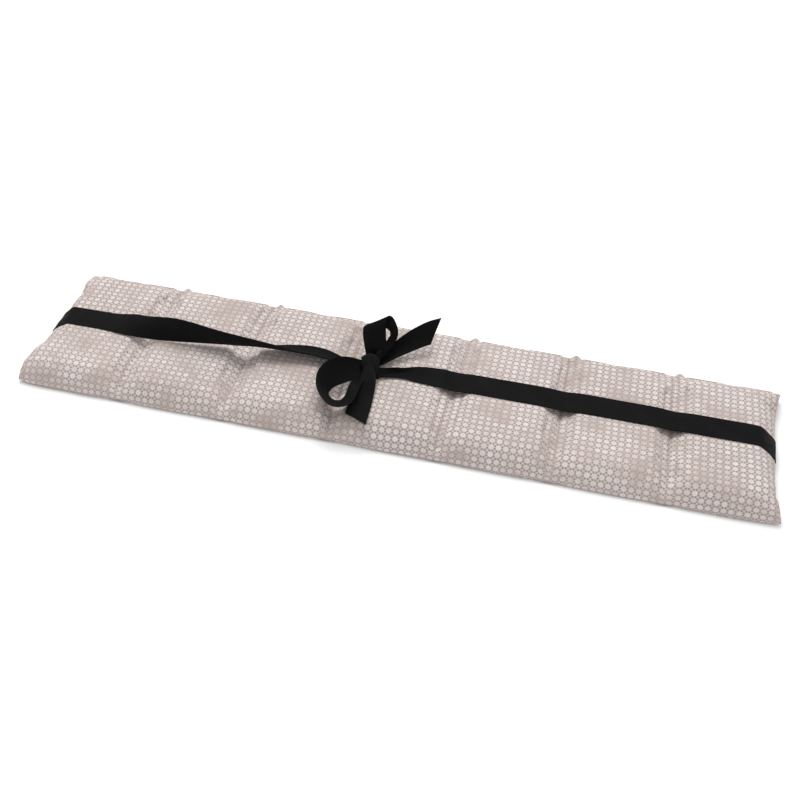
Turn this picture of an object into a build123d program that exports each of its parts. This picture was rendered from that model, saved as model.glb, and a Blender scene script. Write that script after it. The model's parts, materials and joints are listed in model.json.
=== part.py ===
"""Herbal heat pack: seven filled cotton chambers in a row, tied lengthwise with a flat ribbon and a bow.

Frame: +X along the pack, +Y towards the closing seam on the back edge, +Z up.
The origin is the centre of the underside. Millimetres.
"""

import os

from build123d import *

# Driving dimensions of the pack
PACK_LENGTH = 600.0
PACK_WIDTH = 150.0
CHAMBERS = 7
CREST_Z = 21.0
SEAM_Z = 6.5
CLOTH = 1.2

# Sewn edges: a flat flange runs round each chamber at seam height
FLANGE = 0.6
CLOSING_HEM = 6.0
END_HEM = 6.0
PILLOW_GAP = 2.0
WEB_REACH = 1.7

# Roundings of a filled chamber
CORNER_R = 8.0
CROWN_R = 13.5
HEEL_R = 5.0
FILLING_SLACK = 0.15

# Ribbon: flat woven tape. It stops short of each hinge line by the room that folding takes.
RIBBON_W = 23.0
RIBBON_T = 0.6
RIBBON_LIFT = 0.1
TOP_CUTBACK = 6.6
BOTTOM_CUTBACK = 3.3
GROOVE_DEPTH = 0.8
GROOVE_SIDE = 0.6
TURN_INSET = 2.2
TURN_TOP_R = 11.0
TURN_BOTTOM_R = 4.5

# Sewing thread: one strand along each seam, on the upper side, and on the web also below
THREAD = 0.5
THREAD_H = 0.3
THREAD_MARGIN = 2.0
OVERLOCK_PITCH = 4.0
OVERLOCK_REACH = 2.0

# Bow
KNOT_X = -26.0
KNOT_Y = -6.0
KNOT_LENGTH = 16.0
KNOT_WIDTH = 20.0
KNOT_HEIGHT = 13.0
KNOT_R = 4.0
BOW_T = 0.8
BOW_TAPE_W = 21.0

# Worked out from the dimensions above
PITCH = PACK_LENGTH / CHAMBERS
ROOT = (CHAMBERS + 1) // 2
PILLOW_FRONT = -PACK_WIDTH / 2
PILLOW_BACK = PACK_WIDTH / 2 - CLOSING_HEM
PILLOW_DEPTH = PILLOW_BACK - PILLOW_FRONT
PILLOW_Y = (PILLOW_BACK + PILLOW_FRONT) / 2
FLANGE_FRONT = PILLOW_FRONT + 1.0
FLANGE_BACK = PACK_WIDTH / 2
TURN_X = PACK_LENGTH / 2 - TURN_INSET
RIBBON_TOP_Z = CREST_Z + RIBBON_LIFT
TOP_Z = SEAM_Z + FLANGE


def seam_x(number):
    """X of the seam plane on the right of a chamber. Number 0 is the left end of the pack."""
    return -PACK_LENGTH / 2 + number * PITCH


def pillow_ends(number):
    """X where a chamber's filled part starts and stops."""
    left = seam_x(number - 1) + (END_HEM if number == 1 else PILLOW_GAP)
    right = seam_x(number) - (END_HEM if number == CHAMBERS else PILLOW_GAP)
    return left, right


def flange_ends(number):
    """X where a chamber's flat flange starts and stops. The chamber nearer the middle owns the sewn web."""
    left = seam_x(number - 1)
    right = seam_x(number)
    if number > 1:
        left += -WEB_REACH if number <= ROOT else PILLOW_GAP
    if number < CHAMBERS:
        right += WEB_REACH if number >= ROOT else -PILLOW_GAP
    return left, right


def upper_pillow(number, inset):
    """Crowned half of a chamber above the seam plane, drawn in by inset on every outer side."""
    left, right = pillow_ends(number)
    with BuildPart() as dome:
        with BuildSketch(Plane.XY.offset(SEAM_Z)):
            with Locations(((left + right) / 2, PILLOW_Y)):
                RectangleRounded(right - left - 2 * inset, PILLOW_DEPTH - 2 * inset, CORNER_R - inset)
        extrude(amount=CREST_Z - SEAM_Z - inset)
        fillet(dome.edges().group_by(Axis.Z)[-1], radius=CROWN_R - inset)
    return dome.part


def lower_pillow(number, inset):
    """Flat-bottomed half of a chamber below the seam plane, drawn in by inset on every outer side."""
    left, right = pillow_ends(number)
    with BuildPart() as tray:
        with BuildSketch(Plane.XY.offset(inset)):
            with Locations(((left + right) / 2, PILLOW_Y)):
                RectangleRounded(right - left - 2 * inset, PILLOW_DEPTH - 2 * inset, CORNER_R - inset)
        extrude(amount=SEAM_Z - inset)
        fillet(tray.edges().group_by(Axis.Z)[0], radius=HEEL_R - inset)
    return tray.part


def flange_plate(number, bottom):
    """Flat sewn edge of one panel, with a notch at a pack end where the ribbon turns."""
    left, right = flange_ends(number)
    with BuildPart() as plate:
        with BuildSketch(Plane.XY.offset(bottom)):
            with Locations(((left + right) / 2, (FLANGE_FRONT + FLANGE_BACK) / 2)):
                Rectangle(right - left, FLANGE_BACK - FLANGE_FRONT)
            for side in end_sides(number):
                with Locations((side * PACK_LENGTH / 2, 0)):
                    Rectangle(2 * (TURN_INSET + RIBBON_T), RIBBON_W + 2 * GROOVE_SIDE, mode=Mode.SUBTRACT)
        extrude(amount=FLANGE)
    return plate.part


def end_sides(number):
    """Direction of the pack end that a chamber closes, -1 or 1, as a list that is empty inside the row."""
    if number == 1:
        return [-1]
    if number == CHAMBERS:
        return [1]
    return []


def write(piece, label):
    """Name a finished piece and write it as one STEP file."""
    piece.part.label = label
    export_step(piece.part, f"parts/{label}.step")


def make_chamber(number):
    """Upper panel, lower panel and filling of one chamber."""
    with BuildPart() as upper_panel:
        add(flange_plate(number, SEAM_Z))
        add(upper_pillow(number, 0))
        add(upper_pillow(number, CLOTH), mode=Mode.SUBTRACT)
    write(upper_panel, f"chamber_{number}_upper_panel")

    with BuildPart() as lower_panel:
        add(flange_plate(number, SEAM_Z - FLANGE))
        add(lower_pillow(number, 0))
        add(lower_pillow(number, CLOTH), mode=Mode.SUBTRACT)
        with BuildSketch(Plane.XY):
            with Locations(((seam_x(number - 1) + seam_x(number)) / 2, 0)):
                Rectangle(PITCH, RIBBON_W + 2 * GROOVE_SIDE)
        extrude(amount=GROOVE_DEPTH, mode=Mode.SUBTRACT)
    write(lower_panel, f"chamber_{number}_lower_panel")

    with BuildPart() as filling:
        add(upper_pillow(number, CLOTH + FILLING_SLACK))
        add(lower_pillow(number, CLOTH + FILLING_SLACK))
    write(filling, f"chamber_{number}_filling")


def make_cross_seam(number):
    """Thread above and below the web, on the hinge line right of a chamber."""
    length = FLANGE_BACK - FLANGE_FRONT - 2 * THREAD_MARGIN
    middle = (FLANGE_BACK + FLANGE_FRONT) / 2
    with BuildPart() as thread:
        for level in (TOP_Z, SEAM_Z - FLANGE - THREAD_H):
            with BuildSketch(Plane.XY.offset(level)):
                with Locations((seam_x(number), middle)):
                    Rectangle(THREAD, length)
            extrude(amount=THREAD_H)
    write(thread, f"cross_seam_{number}_{number + 1}_thread")


def make_closing_seam(number):
    """Zigzag overlock thread along the back flange of one chamber."""
    left, right = pillow_ends(number)
    steps = int((right - left - 2 * THREAD_MARGIN) // (OVERLOCK_PITCH / 2))
    first = (left + right) / 2 - steps * OVERLOCK_PITCH / 4
    row_y = FLANGE_BACK - CLOSING_HEM / 2
    corners = []
    for step in range(steps + 1):
        reach = OVERLOCK_REACH if step % 2 else -OVERLOCK_REACH
        corners.append((first + step * OVERLOCK_PITCH / 2, row_y + reach))
    with BuildPart() as thread:
        with BuildSketch(Plane.XY.offset(TOP_Z)):
            with BuildLine():
                Polyline(*corners)
            trace(line_width=THREAD)
        extrude(amount=THREAD_H)
    write(thread, f"chamber_{number}_closing_thread")


def make_end_seam(side, label):
    """Thread along the hem at one end of the pack, on both sides of the ribbon's notch."""
    near = RIBBON_W / 2 + GROOVE_SIDE + THREAD_MARGIN
    far = FLANGE_BACK - CLOSING_HEM
    with BuildPart() as thread:
        with BuildSketch(Plane.XY.offset(TOP_Z)):
            for half in (-1, 1):
                with Locations((side * (PACK_LENGTH / 2 - END_HEM / 2), half * (near + far) / 2)):
                    Rectangle(THREAD, far - near)
        extrude(amount=THREAD_H)
    write(thread, label)


def make_flat_ribbon(left, right, bottom, label):
    """Straight run of the ribbon over or under one chamber."""
    with BuildPart() as run:
        with BuildSketch(Plane.XY.offset(bottom)):
            with Locations(((left + right) / 2, 0)):
                Rectangle(right - left, RIBBON_W)
        extrude(amount=RIBBON_T)
    write(run, label)


def make_ribbon_turn(side, label):
    """Ribbon on an end chamber: over the top, round the end and back underneath."""
    inner_seam = seam_x(CHAMBERS - 1)
    top = RIBBON_TOP_Z + RIBBON_T / 2
    bottom = RIBBON_LIFT + RIBBON_T / 2
    outer = TURN_X - RIBBON_T / 2
    with BuildPart() as turn:
        with BuildSketch(Plane.XZ):
            with BuildLine():
                FilletPolyline(
                    (side * (inner_seam + TOP_CUTBACK), top),
                    (side * outer, top),
                    (side * outer, bottom),
                    (side * (inner_seam + BOTTOM_CUTBACK), bottom),
                    radius=[TURN_TOP_R, TURN_BOTTOM_R],
                )
            trace(line_width=RIBBON_T)
        extrude(amount=RIBBON_W / 2, both=True)
    write(turn, label)


def make_ribbon():
    """All straight runs and both end turns of the tape."""
    make_ribbon_turn(-1, "ribbon_left_turn")
    make_ribbon_turn(1, "ribbon_right_turn")
    for number in range(2, CHAMBERS):
        left = seam_x(number - 1)
        right = seam_x(number)
        top_left = KNOT_X + KNOT_LENGTH / 2 if number == ROOT else left + TOP_CUTBACK
        make_flat_ribbon(top_left, right - TOP_CUTBACK, RIBBON_TOP_Z, f"ribbon_top_{number}")
        make_flat_ribbon(left + BOTTOM_CUTBACK, right - BOTTOM_CUTBACK, RIBBON_LIFT, f"ribbon_bottom_{number}")


def make_knot():
    """Bow knot: the tape pulled tight over itself."""
    with BuildPart() as knot:
        with BuildSketch(Plane.XY.offset(RIBBON_TOP_Z)):
            with Locations((KNOT_X, KNOT_Y)):
                Rectangle(KNOT_LENGTH, KNOT_WIDTH)
        extrude(amount=KNOT_HEIGHT)
        fillet(knot.edges(), radius=KNOT_R)
    write(knot, "bow_knot")


def make_loop(label, root, reach, across, radii):
    """One bow loop: an oval band of tape that starts at root and points along reach."""
    length_radius, width_radius = radii
    centre = root + reach.normalized() * length_radius
    with BuildPart() as loop:
        with BuildSketch(Plane(origin=centre, x_dir=reach, z_dir=across)):
            Ellipse(length_radius, width_radius)
            Ellipse(length_radius - BOW_T, width_radius - BOW_T, mode=Mode.SUBTRACT)
        extrude(amount=BOW_TAPE_W / 2, both=True)
    write(loop, label)


def make_tail(label, root, reach, normal, near_side, far_side):
    """One loose end of the tape, a flat strip with slanting ends.

    near_side and far_side say where each long edge starts and stops, counted from root along reach.
    """
    with BuildPart() as tail:
        with BuildSketch(Plane(origin=root, x_dir=reach, z_dir=normal)):
            with BuildLine():
                Polyline(
                    (near_side[0], 0),
                    (near_side[1], 0),
                    (far_side[1], BOW_TAPE_W),
                    (far_side[0], BOW_TAPE_W),
                    close=True,
                )
            make_face()
        extrude(amount=BOW_T)
    write(tail, label)


def make_bow():
    """Knot, two loops and two tails."""
    make_knot()
    make_loop(
        "bow_upper_loop",
        root=Vector(KNOT_X - 2, KNOT_Y + 7, RIBBON_TOP_Z + KNOT_HEIGHT - 2),
        reach=Vector(0.0, 0.5, 0.87),
        across=Vector(1.0, 0.0, 0.0),
        radii=(14.0, 8.0),
    )
    make_loop(
        "bow_lower_loop",
        root=Vector(KNOT_X - 6, KNOT_Y - 4, RIBBON_TOP_Z + BOW_TAPE_W / 2 + 1.2),
        reach=Vector(-0.7, -0.71, 0.0),
        across=Vector(0.0, 0.0, 1.0),
        radii=(19.0, 11.0),
    )
    make_tail(
        "bow_right_tail",
        root=Vector(KNOT_X + 8, KNOT_Y + 3, RIBBON_TOP_Z + 6),
        reach=Vector(0.73, 0.67, 0.12),
        normal=Vector(0.36, -0.53, 0.77),
        near_side=(0.0, 42.0),
        far_side=(20.0, 58.0),
    )
    make_tail(
        "bow_lower_tail",
        root=Vector(KNOT_X + 9, KNOT_Y - 8, RIBBON_TOP_Z + 0.9),
        reach=Vector(0.12, -1.0, 0.0),
        normal=Vector(0.0, 0.0, -1.0),
        near_side=(0.0, 56.0),
        far_side=(0.0, 46.0),
    )


os.makedirs("parts", exist_ok=True)
for chamber in range(1, CHAMBERS + 1):
    make_chamber(chamber)
    make_closing_seam(chamber)
for chamber in range(1, CHAMBERS):
    make_cross_seam(chamber)
make_end_seam(-1, "left_end_thread")
make_end_seam(1, "right_end_thread")
make_ribbon()
make_bow()
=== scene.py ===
"""Looks of the seven-chamber herbal heat pack: cotton chambers, seams, filling, ribbon and bow, in metres."""

import json
import math

import bpy
import numpy as np
from mathutils import Matrix, Vector, noise
from mathutils.bvhtree import BVHTree


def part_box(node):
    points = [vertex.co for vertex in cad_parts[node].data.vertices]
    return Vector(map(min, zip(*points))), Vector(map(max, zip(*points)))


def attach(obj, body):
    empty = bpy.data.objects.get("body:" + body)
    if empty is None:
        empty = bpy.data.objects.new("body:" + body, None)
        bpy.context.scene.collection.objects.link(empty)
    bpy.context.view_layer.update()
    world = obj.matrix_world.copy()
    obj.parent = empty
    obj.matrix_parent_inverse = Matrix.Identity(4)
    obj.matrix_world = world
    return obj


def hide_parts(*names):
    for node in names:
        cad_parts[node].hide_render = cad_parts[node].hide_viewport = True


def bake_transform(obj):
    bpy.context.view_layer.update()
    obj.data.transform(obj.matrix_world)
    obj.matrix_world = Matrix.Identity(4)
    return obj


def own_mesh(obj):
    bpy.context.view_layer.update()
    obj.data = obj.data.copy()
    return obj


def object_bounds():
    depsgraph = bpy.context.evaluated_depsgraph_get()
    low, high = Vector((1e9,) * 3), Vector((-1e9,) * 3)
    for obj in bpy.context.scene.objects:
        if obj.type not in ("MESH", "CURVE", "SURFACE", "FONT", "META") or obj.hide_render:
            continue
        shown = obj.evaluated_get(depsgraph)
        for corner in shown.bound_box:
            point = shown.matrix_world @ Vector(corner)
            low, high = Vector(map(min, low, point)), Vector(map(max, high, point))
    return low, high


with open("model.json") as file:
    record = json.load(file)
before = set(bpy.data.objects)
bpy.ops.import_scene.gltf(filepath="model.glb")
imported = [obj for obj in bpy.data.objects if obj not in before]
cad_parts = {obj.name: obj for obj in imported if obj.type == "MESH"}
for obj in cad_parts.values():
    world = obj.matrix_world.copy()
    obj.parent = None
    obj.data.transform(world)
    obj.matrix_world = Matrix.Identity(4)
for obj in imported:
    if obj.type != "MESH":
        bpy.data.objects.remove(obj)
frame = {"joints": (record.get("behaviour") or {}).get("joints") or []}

CAD_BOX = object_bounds()
MM = 0.001
CHAMBERS = 7
MIDDLE = 4

# Places from the frame
SEAMS = sorted(joint["pos_m"][0] for joint in frame["joints"])
HINGE_Z = frame["joints"][0]["pos_m"][2]
HALF_LENGTH = CAD_BOX[1].x
HALF_WIDTH = CAD_BOX[1].y
EDGES = [-HALF_LENGTH, *SEAMS, HALF_LENGTH]
CREST_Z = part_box("chamber_4_upper_panel")[1].z
RIBBON_LOW, RIBBON_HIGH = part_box("ribbon_top_5")
RIBBON_W = RIBBON_HIGH.y - RIBBON_LOW.y

# Filled cloth
CELL = 2.7 * MM
SEAM_HALF = 0.35 * MM
FOLD_ROOM = 0.45
CROWN = CREST_Z - HINGE_Z + 0.8 * MM
HEEL = HINGE_Z - 0.3 * MM
PRESSURE = 2.2
CLOTH_FRAMES = 20
CLOTH_GROWTH = -0.04
CLOTH_CAP = 3.0 * MM
PRESSED_Z = CREST_Z - 0.6 * MM
BACK_SLOPE_FROM = 57 * MM

# Cross seams and threads
VALLEY_REACH = 8.5 * MM
VALLEY_DEPTH = 4.8 * MM
VALLEY_CELLS = 12
THREAD_R = 0.22 * MM
STITCH = 3.0 * MM
OVERLOCK = 2.6 * MM

# Ribbon
TAPE_T = 0.7 * MM
TAPE_CELLS = 8
TAPE_STEP = 1.6 * MM
RIBBON_SHIFT = -3.4 * MM
BOW_FULL = 16.5 * MM


# ---------------------------------------------------------------- camera, light and floor

FOCAL_PX = 1184.0
FRAME_PX = 800.0
SENSOR_MM = 36.0
AZIMUTH = math.radians(12.04)
ELEVATION = math.radians(40.22)
ROLL = math.radians(2.54)
TARGET = Vector((0.7 * MM, -10.4 * MM, 0.0))
DISTANCE = 0.951


def make_camera():
    """Camera at the front, a little to the right, looking down on the pack."""
    back = Vector((
        math.sin(AZIMUTH) * math.cos(ELEVATION),
        -math.cos(AZIMUTH) * math.cos(ELEVATION),
        math.sin(ELEVATION),
    ))
    right = Vector((math.cos(AZIMUTH), math.sin(AZIMUTH), 0.0))
    up = back.cross(right)
    rolled_right = math.cos(ROLL) * right + math.sin(ROLL) * up
    rolled_up = math.cos(ROLL) * up - math.sin(ROLL) * right
    data = bpy.data.cameras.new("camera")
    data.sensor_width = SENSOR_MM
    data.lens = FOCAL_PX / FRAME_PX * SENSOR_MM
    camera = bpy.data.objects.new("camera", data)
    bpy.context.scene.collection.objects.link(camera)
    turn = Matrix((rolled_right, rolled_up, back)).transposed()
    camera.matrix_world = Matrix.Translation(TARGET + back * DISTANCE) @ turn.to_4x4()
    bpy.context.scene.camera = camera


def add_area_light(name, place, size, power):
    """Large soft light at place, aimed at the pack."""
    data = bpy.data.lights.new(name, "AREA")
    data.shape = "DISK"
    data.size = size
    data.energy = power
    light = bpy.data.objects.new(name, data)
    light.location = place
    light.rotation_euler = (-Vector(place)).to_track_quat("-Z", "Y").to_euler()
    bpy.context.scene.collection.objects.link(light)


def make_studio():
    """White floor, even surrounding light and two softboxes."""
    world = bpy.data.worlds.new("studio")
    world.use_nodes = True
    world.node_tree.nodes["Background"].inputs["Color"].default_value = (1, 1, 1, 1)
    world.node_tree.nodes["Background"].inputs["Strength"].default_value = 0.72
    bpy.context.scene.world = world
    bpy.context.scene.view_settings.view_transform = "Standard"
    add_area_light("overhead", (-0.25, 0.55, 1.5), 1.1, 17.0)
    add_area_light("front_fill", (0.9, -1.4, 1.3), 1.0, 3.0)
    material = bpy.data.materials.new("floor_white")
    material.use_nodes = True
    shader = material.node_tree.nodes["Principled BSDF"]
    shader.inputs["Base Color"].default_value = (0.93, 0.93, 0.93, 1)
    shader.inputs["Roughness"].default_value = 0.9
    shader.inputs["Specular IOR Level"].default_value = 0.1
    mesh = bpy.data.meshes.new("floor")
    side = 6.0
    corners = [(-side, -side, 0), (side, -side, 0), (side, side, 0), (-side, side, 0)]
    mesh.from_pydata(corners, [], [(0, 1, 2, 3)])
    floor = bpy.data.objects.new("floor", mesh)
    floor.data.materials.append(material)
    bpy.context.scene.collection.objects.link(floor)


# ---------------------------------------------------------------- node helpers

class Nodes:
    """Short way to build a shader tree: each call adds a node and returns its output."""

    def __init__(self, name):
        self.material = bpy.data.materials.new(name)
        self.material.use_nodes = True
        self.tree = self.material.node_tree
        self.shader = self.tree.nodes["Principled BSDF"]

    def plug(self, socket, value):
        if isinstance(value, bpy.types.NodeSocket):
            self.tree.links.new(value, socket)
        elif value is not None:
            socket.default_value = value

    def add(self, kind, inputs=(), output=0, **settings):
        node = self.tree.nodes.new(kind)
        for key, value in settings.items():
            setattr(node, key, value)
        for key, value in dict(inputs).items():
            self.plug(node.inputs[key], value)
        return node.outputs[output]

    def math(self, operation, a, b=None, c=None):
        return self.add("ShaderNodeMath", {0: a, 1: b, 2: c}, operation=operation)

    def vector(self, operation, a, b=None, output="Vector"):
        return self.add("ShaderNodeVectorMath", {0: a, 1: b}, output, operation=operation)

    def ramp(self, value, low, high, start=0.0, stop=1.0):
        inputs = {"Value": value, "From Min": low, "From Max": high, "To Min": start, "To Max": stop}
        return self.add("ShaderNodeMapRange", inputs, interpolation_type="SMOOTHSTEP")

    def noise(self, vector, scale, detail=2.0, rough=0.5, output="Fac"):
        inputs = {"Vector": vector, "Scale": scale, "Detail": detail, "Roughness": rough}
        return self.add("ShaderNodeTexNoise", inputs, output)

    def mix(self, share, a, b):
        node = self.tree.nodes.new("ShaderNodeMix")
        node.data_type = "RGBA"
        self.plug(node.inputs["Factor"], share)
        self.plug(node.inputs[6], a)
        self.plug(node.inputs[7], b)
        return node.outputs[2]

    def bump(self, height, strength, distance, normal=None):
        inputs = {"Height": height, "Strength": strength, "Distance": distance, "Normal": normal}
        return self.add("ShaderNodeBump", inputs)


def uv_of(nodes, name):
    return nodes.add("ShaderNodeUVMap", output="UV", uv_map=name)


# ---------------------------------------------------------------- materials

DOT_PITCH_X = 5.6 * MM
DOT_PITCH_Y = 5.6 * MM
PRINT_TURN = math.radians(-2.0)
WEAVE_PITCH = 0.42 * MM


def weave_height(nodes, uv, pitch):
    """Plain weave: over and under threads in both directions."""
    scaled = nodes.vector("SCALE", uv)
    scaled.node.inputs["Scale"].default_value = math.pi / pitch
    parts = nodes.add("ShaderNodeSeparateXYZ", {0: scaled}, "X").node
    across = nodes.math("SINE", parts.outputs["X"])
    along = nodes.math("SINE", parts.outputs["Y"])
    return nodes.math("MULTIPLY", across, along)


def make_cotton():
    """Printed cotton: pale discs in rows with small dark dots between, fading under soft blotches."""
    nodes = Nodes("printed_cotton")
    uv = uv_of(nodes, "cloth")
    turned = nodes.add("ShaderNodeVectorRotate", {"Vector": uv, "Angle": PRINT_TURN}, rotation_type="Z_AXIS")
    wobble = nodes.noise(turned, 28.0, 1.0, output="Color")
    centred = nodes.vector("SUBTRACT", wobble, (0.5, 0.5, 0.5))
    shift = nodes.vector("MULTIPLY", centred, (2.2 * MM, 2.2 * MM, 0.0))
    warped = nodes.vector("ADD", turned, shift)
    cells = nodes.vector("MULTIPLY", warped, (1 / DOT_PITCH_X, 1 / DOT_PITCH_Y, 0.0))
    fine = nodes.noise(turned, 900.0, 2.0)
    ragged = nodes.math("MULTIPLY_ADD", fine, 0.16, -0.08)

    shifted = nodes.vector("ADD", cells, (0.5, 0.5, 0))
    inside = nodes.vector("SUBTRACT", nodes.vector("FRACTION", shifted), (0.5, 0.5, 0))
    reach = nodes.math("ADD", nodes.vector("LENGTH", inside, output="Value"), ragged)
    disc = nodes.ramp(reach, 0.40, 0.31)
    ring = nodes.ramp(reach, 0.10, 0.20)

    sides = nodes.add("ShaderNodeSeparateXYZ", {0: inside}, "X").node
    angle = nodes.math("ARCTAN2", sides.outputs["Y"], sides.outputs["X"])
    spokes = nodes.math("COSINE", nodes.math("MULTIPLY_ADD", angle, 8.0, math.pi))
    band = nodes.math("ABSOLUTE", nodes.math("SUBTRACT", reach, 0.50))
    speck = nodes.math("MULTIPLY", nodes.ramp(band, 0.15, 0.06), nodes.ramp(spokes, -0.1, 0.6))
    corner = nodes.ramp(reach, 0.60, 0.66)

    each_cell = nodes.vector("FLOOR", nodes.vector("ADD", cells, (0.5, 0.5, 0)))
    chance = nodes.add("ShaderNodeTexWhiteNoise", {"Vector": each_cell}, "Value", noise_dimensions="2D")
    worn = nodes.math("MULTIPLY_ADD", chance, 0.42, 0.46)

    cloud = nodes.noise(uv, 27.0, 5.0, 0.66)
    mottle = nodes.noise(uv, 160.0, 3.0, 0.6)
    cover = nodes.math("MULTIPLY_ADD", mottle, 0.30, cloud)
    blotch = nodes.ramp(cover, 0.56, 0.84)
    shown = nodes.ramp(blotch, 0.0, 1.0, 1.0, 0.42)

    soft = nodes.noise(uv, 9.0, 2.0)
    ground = nodes.mix(nodes.ramp(soft, 0.35, 0.65), (0.465, 0.402, 0.380, 1), (0.525, 0.455, 0.432, 1))
    ground = nodes.mix(nodes.math("MULTIPLY", blotch, 0.8), ground, (0.405, 0.325, 0.295, 1))
    light = nodes.math("MAXIMUM", disc, nodes.math("MULTIPLY", corner, 0.6))
    disc_share = nodes.math("MULTIPLY", nodes.math("MULTIPLY", light, worn), shown)
    disc_tint = nodes.mix(ring, (0.665, 0.605, 0.58, 1), (0.735, 0.68, 0.655, 1))
    disc_tint = nodes.mix(nodes.math("MULTIPLY", blotch, 0.55), disc_tint, (0.50, 0.425, 0.395, 1))
    speck_share = nodes.math("MULTIPLY", nodes.math("MULTIPLY", speck, shown), 0.8)
    colour = nodes.mix(disc_share, ground, disc_tint)
    colour = nodes.mix(speck_share, colour, (0.20, 0.155, 0.145, 1))
    slub = nodes.noise(nodes.vector("MULTIPLY", uv, (1.0, 0.08, 1.0)), 1500.0, 2.0)
    colour = nodes.mix(nodes.ramp(slub, 0.35, 0.75, 0.0, 0.10), colour, (0.30, 0.25, 0.23, 1))
    nodes.plug(nodes.shader.inputs["Base Color"], colour)

    rough = nodes.ramp(nodes.noise(uv, 300.0), 0.3, 0.7, 0.78, 0.92)
    nodes.plug(nodes.shader.inputs["Roughness"], rough)
    creases = nodes.bump(nodes.noise(uv, 190.0, 3.0, 0.55), 0.35, 0.5 * MM)
    woven = nodes.bump(weave_height(nodes, uv, WEAVE_PITCH), 0.35, 0.10 * MM, creases)
    nodes.plug(nodes.shader.inputs["Normal"], woven)
    nodes.shader.inputs["Sheen Weight"].default_value = 0.12
    nodes.shader.inputs["Sheen Roughness"].default_value = 0.5
    nodes.shader.inputs["Specular IOR Level"].default_value = 0.2
    return nodes.material


def make_tape_material():
    """Black cotton tape: fine diagonal twill, fuzzy and matt."""
    nodes = Nodes("black_tape")
    uv = uv_of(nodes, "tape")
    slant = {"Vector": uv, "Angle": math.radians(58)}
    slanted = nodes.add("ShaderNodeVectorRotate", slant, rotation_type="Z_AXIS")
    parts = nodes.add("ShaderNodeSeparateXYZ", {0: slanted}, "X")
    ribs = nodes.math("SINE", nodes.math("MULTIPLY", parts, 2 * math.pi / (0.75 * MM)))
    lint = nodes.noise(uv, 1400.0, 3.0, 0.6)
    patches = nodes.noise(uv, 60.0, 2.0)
    shade = nodes.mix(nodes.ramp(patches, 0.3, 0.7), (0.0022, 0.0018, 0.0020, 1), (0.0042, 0.0036, 0.0038, 1))
    shade = nodes.mix(nodes.ramp(ribs, -1.0, 1.0, 0.0, 0.35), shade, (0.0070, 0.0062, 0.0064, 1))
    shade = nodes.mix(nodes.ramp(lint, 0.62, 0.80, 0.0, 0.30), shade, (0.035, 0.032, 0.032, 1))
    nodes.plug(nodes.shader.inputs["Base Color"], shade)
    nodes.plug(nodes.shader.inputs["Roughness"], nodes.ramp(lint, 0.3, 0.7, 0.80, 0.95))
    twill = nodes.bump(ribs, 0.5, 0.12 * MM, nodes.bump(lint, 0.3, 0.15 * MM))
    nodes.plug(nodes.shader.inputs["Normal"], twill)
    nodes.shader.inputs["Sheen Weight"].default_value = 0.015
    nodes.shader.inputs["Sheen Roughness"].default_value = 0.4
    nodes.shader.inputs["Specular IOR Level"].default_value = 0.12
    return nodes.material


def make_thread_material():
    """Tan spun sewing thread with a visible ply."""
    nodes = Nodes("tan_thread")
    place = nodes.add("ShaderNodeTexCoord", output="Object")
    ply = nodes.noise(place, 1800.0, 2.0)
    tone = nodes.noise(place, 120.0, 2.0)
    colour = nodes.mix(nodes.ramp(tone, 0.35, 0.65), (0.40, 0.24, 0.14, 1), (0.56, 0.40, 0.28, 1))
    colour = nodes.mix(nodes.ramp(ply, 0.45, 0.7, 0.0, 0.4), colour, (0.22, 0.13, 0.08, 1))
    nodes.plug(nodes.shader.inputs["Base Color"], colour)
    nodes.plug(nodes.shader.inputs["Roughness"], nodes.ramp(ply, 0.3, 0.7, 0.55, 0.8))
    nodes.plug(nodes.shader.inputs["Normal"], nodes.bump(ply, 0.5, 0.1 * MM))
    nodes.shader.inputs["Sheen Weight"].default_value = 0.2
    return nodes.material


def make_filling_material():
    """Dried herbs and grain: small husks in browns and greens."""
    nodes = Nodes("herb_filling")
    place = nodes.add("ShaderNodeTexCoord", output="Object")
    husks = nodes.add("ShaderNodeTexVoronoi", {"Vector": place, "Scale": 320.0}, "Distance")
    tint = nodes.add("ShaderNodeTexVoronoi", {"Vector": place, "Scale": 320.0}, "Color")
    pick = nodes.add("ShaderNodeSeparateColor", {0: tint}, 0)
    colour = nodes.mix(pick, (0.16, 0.11, 0.05, 1), (0.30, 0.29, 0.11, 1))
    colour = nodes.mix(nodes.ramp(husks, 0.0, 0.6, 0.0, 0.5), colour, (0.42, 0.32, 0.17, 1))
    nodes.plug(nodes.shader.inputs["Base Color"], colour)
    nodes.plug(nodes.shader.inputs["Roughness"], nodes.ramp(husks, 0.0, 0.6, 0.6, 0.9))
    nodes.plug(nodes.shader.inputs["Normal"], nodes.bump(husks, 0.8, 1.0 * MM))
    return nodes.material


# ---------------------------------------------------------------- mesh helpers

def link(mesh, name, material):
    piece = bpy.data.objects.new(name, mesh)
    piece.data.materials.append(material)
    bpy.context.scene.collection.objects.link(piece)
    return piece


def smooth_step(value):
    value = np.clip(value, 0.0, 1.0)
    return value * value * (3 - 2 * value)


def bell(distance, width):
    return np.exp(-((distance / width) ** 2))


def wave(places, seed, size):
    """Smooth seeded noise, -1 to 1, along one coordinate."""
    heights = [noise.noise(Vector((p / size, seed * 7.31, 0.5))) * 1.6 for p in np.ravel(places)]
    return np.array(heights).reshape(np.shape(places))


def field(points, seed, size):
    """Smooth seeded noise over points in the plane."""
    return np.array([noise.noise(Vector((x / size, y / size, seed * 3.7))) * 1.6 for x, y in points[:, :2]])


# ---------------------------------------------------------------- filled chambers

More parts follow.
